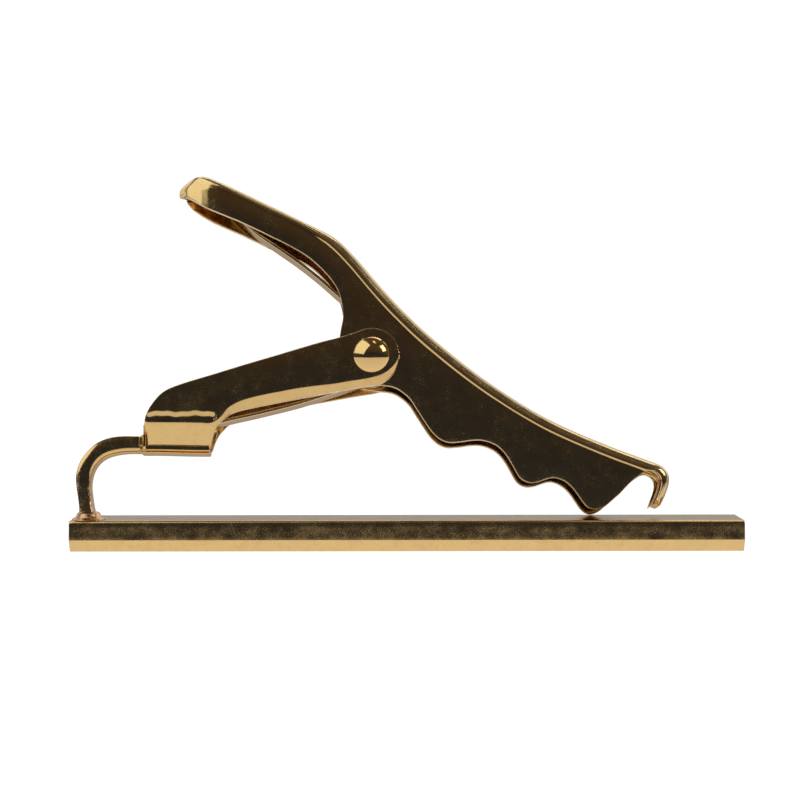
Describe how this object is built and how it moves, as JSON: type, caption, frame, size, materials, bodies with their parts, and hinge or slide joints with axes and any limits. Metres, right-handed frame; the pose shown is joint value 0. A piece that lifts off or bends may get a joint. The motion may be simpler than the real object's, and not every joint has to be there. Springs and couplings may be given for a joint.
{
  "type": "tie clip",
  "caption": "Straight tie bar with a sprung alligator clip soldered to its back; thumb lever, toothed jaw, riveted pivot.",
  "frame": {"origin": "centre of the bar's decorative front face, which the clip lies on", "axes": "+X along the bar from the soldered foot towards the jaw, +Z from the front face towards the clip, +Y across the bar, completing a right-handed set"},
  "size_m": [0.06, 0.0099, 0.0339],
  "materials": {
    "gold_plate_bar": "polished gold plate",
    "gold_plate_solder": "gold plate over a rough solder fillet",
    "gold_plate_arm": "polished gold plate over a stamped strip",
    "gold_plate_lever": "polished gold plate over a stamped strip",
    "gold_plate_rivet": "polished gold plate",
    "gold_plate_spring": "gold-plated spring strip"
  },
  "bodies": {
    "clip_base": {"front_bar": "gold_plate_bar", "solder_joint": "gold_plate_solder", "base_arm": "gold_plate_arm", "pivot_rivet": "gold_plate_rivet", "leaf_spring": "gold_plate_spring"},
    "jaw": {"jaw_lever": "gold_plate_lever"}
  },
  "joints": [
    {"name": "jaw_hinge", "type": "hinge", "parent": "clip_base", "child": "jaw", "pos_m": [-0.00319, 0.00218, 0.01698], "axis": [0.0343, -0.9827, 0.1822], "range_deg": [0, 40], "stiffness_Nm_per_rad": 0.05, "springref_deg": -34.38, "deforming": ["leaf_spring"]}
  ]
}
